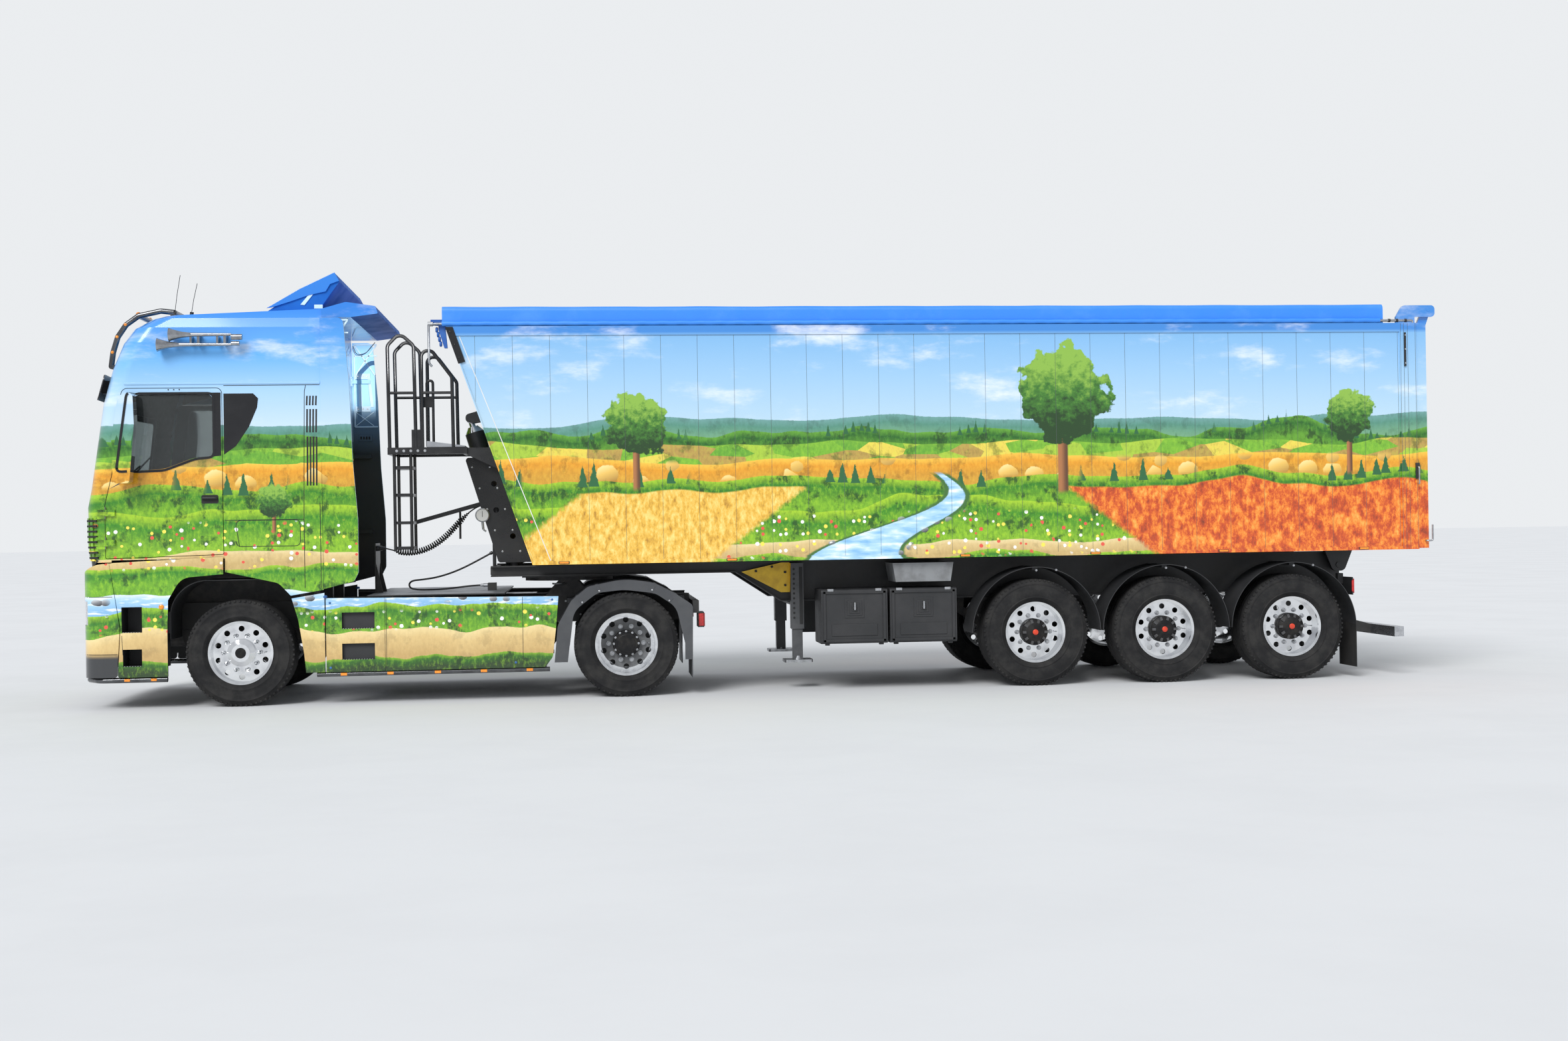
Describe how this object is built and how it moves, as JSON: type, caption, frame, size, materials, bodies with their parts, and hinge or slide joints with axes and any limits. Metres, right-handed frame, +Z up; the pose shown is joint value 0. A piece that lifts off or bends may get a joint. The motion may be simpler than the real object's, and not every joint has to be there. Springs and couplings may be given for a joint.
{
  "type": "articulated tipper lorry",
  "caption": "Road tractor with a high sleeper cab that tilts, coupled to a tri-axle tipping semi-trailer with a telescopic ram",
  "frame": {"origin": "On the ground, under the middle of the overall length and width", "axes": "+X runs rearwards along the vehicle, +Y to its right-hand side, +Z up; it faces -X"},
  "size_m": [13.214, 2.89, 4.094],
  "materials": {
    "painted_body": "clear-coated blue paint with a painted landscape",
    "painted_frame": "satin black chassis paint",
    "dark_plastic": "grained dark grey plastic",
    "lamp_lens": "clear lamp lens",
    "glass": "tinted cab glass",
    "bright_metal": "polished tube",
    "alloy_wheel": "polished forged alloy",
    "tyre": "road tyre rubber",
    "axle_steel": "black cast and forged steel",
    "tank_alloy": "brushed alloy tank",
    "seat_fabric": "woven seat cloth",
    "interior": "soft grained plastic",
    "cover_cloth": "coated tarpaulin",
    "ram_steel": "ground and plated steel tube",
    "black_steel": "black enamelled tube",
    "landing_grey": "grey enamel"
  },
  "bodies": {
    "tractor": {"tractor_frame": "painted_frame", "engine_block": "axle_steel", "front_axle": "axle_steel", "drive_axle": "axle_steel", "front_bumper": "painted_body", "headlamps": "lamp_lens", "side_steps": "painted_body", "side_skirts": "painted_body", "fuel_tanks": "tank_alloy", "drive_fenders": "dark_plastic", "fifth_wheel": "axle_steel", "chrome_tubes": "bright_metal"},
    "cab": {"cab_shell": "painted_body", "windscreen": "glass", "air_deflectors": "painted_body", "roof_trim": "bright_metal", "seats": "seat_fabric", "bunk": "seat_fabric", "dashboard": "interior"},
    "door_left": {"door_left": "painted_body", "door_glass_left": "glass"},
    "door_right": {"door_right": "painted_body", "door_glass_right": "glass"},
    "knuckle_left": {"knuckle_left": "axle_steel"},
    "knuckle_right": {"knuckle_right": "axle_steel"},
    "front_wheel_left": {"front_tyre_left": "tyre", "front_rim_left": "alloy_wheel"},
    "front_wheel_right": {"front_tyre_right": "tyre", "front_rim_right": "alloy_wheel"},
    "drive_wheel_left": {"drive_tyres_left": "tyre", "drive_rims_left": "alloy_wheel"},
    "drive_wheel_right": {"drive_tyres_right": "tyre", "drive_rims_right": "alloy_wheel"},
    "trailer": {"trailer_frame": "painted_frame", "trailer_axles": "axle_steel", "landing_legs": "landing_grey", "toolboxes": "dark_plastic", "trailer_fenders": "dark_plastic"},
    "bed": {"bed_body": "painted_body", "tarp_cover": "cover_cloth", "access_platform": "black_steel"},
    "tailgate": {"tailgate": "painted_body"},
    "ram_barrel": {"ram_barrel": "black_steel"},
    "ram_stage_1": {"ram_stage_1": "ram_steel"},
    "ram_stage_2": {"ram_stage_2": "ram_steel"},
    "ram_stage_3": {"ram_stage_3": "ram_steel"},
    "ram_stage_4": {"ram_stage_4": "ram_steel"},
    "ram_stage_5": {"ram_stage_5": "ram_steel"},
    "trailer_wheel_1_left": {"trailer_tyre_1_left": "tyre", "trailer_rim_1_left": "alloy_wheel"},
    "trailer_wheel_1_right": {"trailer_tyre_1_right": "tyre", "trailer_rim_1_right": "alloy_wheel"},
    "trailer_wheel_2_left": {"trailer_tyre_2_left": "tyre", "trailer_rim_2_left": "alloy_wheel"},
    "trailer_wheel_2_right": {"trailer_tyre_2_right": "tyre", "trailer_rim_2_right": "alloy_wheel"},
    "trailer_wheel_3_left": {"trailer_tyre_3_left": "tyre", "trailer_rim_3_left": "alloy_wheel"},
    "trailer_wheel_3_right": {"trailer_tyre_3_right": "tyre", "trailer_rim_3_right": "alloy_wheel"}
  },
  "joints": [
    {"name": "cab_tilt", "type": "hinge", "parent": "tractor", "child": "cab", "pos_m": [-6.332, 0, 1.02], "axis": [0, -1, 0], "range_deg": [0, 60]},
    {"name": "door_left_hinge", "type": "hinge", "parent": "cab", "child": "door_left", "pos_m": [-6.331, -1.2333, 1.76], "axis": [0, 0, 1], "range_deg": [-70, 0]},
    {"name": "door_right_hinge", "type": "hinge", "parent": "cab", "child": "door_right", "pos_m": [-6.331, 1.2333, 1.76], "axis": [0, 0, 1], "range_deg": [0, 70]},
    {"name": "steer_left", "type": "hinge", "parent": "tractor", "child": "knuckle_left", "pos_m": [-5.132, -0.9, 0.5], "axis": [0, 0, 1], "range_deg": [-38, 38]},
    {"name": "steer_right", "type": "hinge", "parent": "tractor", "child": "knuckle_right", "pos_m": [-5.132, 0.9, 0.5], "axis": [0, 0, 1], "range_deg": [-38, 38]},
    {"name": "kingpin", "type": "hinge", "parent": "tractor", "child": "trailer", "pos_m": [-2.082, 0, 1.12], "axis": [0, 0, 1], "range_deg": [-90, 90]},
    {"name": "tip", "type": "hinge", "parent": "trailer", "child": "bed", "pos_m": [5.768, 0, 1.12], "axis": [0, 1, 0], "range_deg": [0, 45]},
    {"name": "tailgate_hinge", "type": "hinge", "parent": "bed", "child": "tailgate", "pos_m": [6.538, 0, 3.68], "axis": [0, -1, 0], "range_deg": [0, 60]},
    {"name": "ram_swing", "type": "hinge", "parent": "trailer", "child": "ram_barrel", "pos_m": [-2.592, 0, 1.195], "axis": [0, 1, 0], "range_deg": [0, 41]},
    {"name": "ram_slide_1", "type": "slide", "parent": "ram_barrel", "child": "ram_stage_1", "axis": [-0.2825, 0, 0.9593], "range_m": [0, 1.284]},
    {"name": "ram_slide_2", "type": "slide", "parent": "ram_stage_1", "child": "ram_stage_2", "axis": [-0.2825, 0, 0.9593], "range_m": [0, 1.284]},
    {"name": "ram_slide_3", "type": "slide", "parent": "ram_stage_2", "child": "ram_stage_3", "axis": [-0.2825, 0, 0.9593], "range_m": [0, 1.284]},
    {"name": "ram_slide_4", "type": "slide", "parent": "ram_stage_3", "child": "ram_stage_4", "axis": [-0.2825, 0, 0.9593], "range_m": [0, 1.284]},
    {"name": "ram_slide_5", "type": "slide", "parent": "ram_stage_4", "child": "ram_stage_5", "axis": [-0.2825, 0, 0.9593], "range_m": [0, 1.284]},
    {"name": "front_wheel_left_spin", "type": "hinge", "parent": "knuckle_left", "child": "front_wheel_left", "pos_m": [-5.132, -1.062, 0.5], "axis": [0, 1, 0], "continuous": true},
    {"name": "drive_wheel_left_spin", "type": "hinge", "parent": "tractor", "child": "drive_wheel_left", "pos_m": [-1.532, -0.9175, 0.5], "axis": [0, 1, 0], "continuous": true},
    {"name": "trailer_wheel_1_left_spin", "type": "hinge", "parent": "trailer", "child": "trailer_wheel_1_left", "pos_m": [2.478, -1.02, 0.525], "axis": [0, 1, 0], "continuous": true},
    {"name": "trailer_wheel_2_left_spin", "type": "hinge", "parent": "trailer", "child": "trailer_wheel_2_left", "pos_m": [3.788, -1.02, 0.525], "axis": [0, 1, 0], "continuous": true},
    {"name": "trailer_wheel_3_left_spin", "type": "hinge", "parent": "trailer", "child": "trailer_wheel_3_left", "pos_m": [5.098, -1.02, 0.525], "axis": [0, 1, 0], "continuous": true},
    {"name": "front_wheel_right_spin", "type": "hinge", "parent": "knuckle_right", "child": "front_wheel_right", "pos_m": [-5.132, 1.062, 0.5], "axis": [0, 1, 0], "continuous": true},
    {"name": "drive_wheel_right_spin", "type": "hinge", "parent": "tractor", "child": "drive_wheel_right", "pos_m": [-1.532, 0.9175, 0.5], "axis": [0, 1, 0], "continuous": true},
    {"name": "trailer_wheel_1_right_spin", "type": "hinge", "parent": "trailer", "child": "trailer_wheel_1_right", "pos_m": [2.478, 1.02, 0.525], "axis": [0, 1, 0], "continuous": true},
    {"name": "trailer_wheel_2_right_spin", "type": "hinge", "parent": "trailer", "child": "trailer_wheel_2_right", "pos_m": [3.788, 1.02, 0.525], "axis": [0, 1, 0], "continuous": true},
    {"name": "trailer_wheel_3_right_spin", "type": "hinge", "parent": "trailer", "child": "trailer_wheel_3_right", "pos_m": [5.098, 1.02, 0.525], "axis": [0, 1, 0], "continuous": true}
  ],
  "couplings": [
    {"joint": "steer_right", "follows": "steer_left", "ratio": 1},
    {"joint": "ram_swing", "follows": "tip", "ratio": 0.90098},
    {"joint": "ram_slide_1", "follows": "tip", "m_per_rad": 1.6279},
    {"joint": "ram_slide_2", "follows": "tip", "m_per_rad": 1.6279},
    {"joint": "ram_slide_3", "follows": "tip", "m_per_rad": 1.6279},
    {"joint": "ram_slide_4", "follows": "tip", "m_per_rad": 1.6279},
    {"joint": "ram_slide_5", "follows": "tip", "m_per_rad": 1.6279}
  ]
}
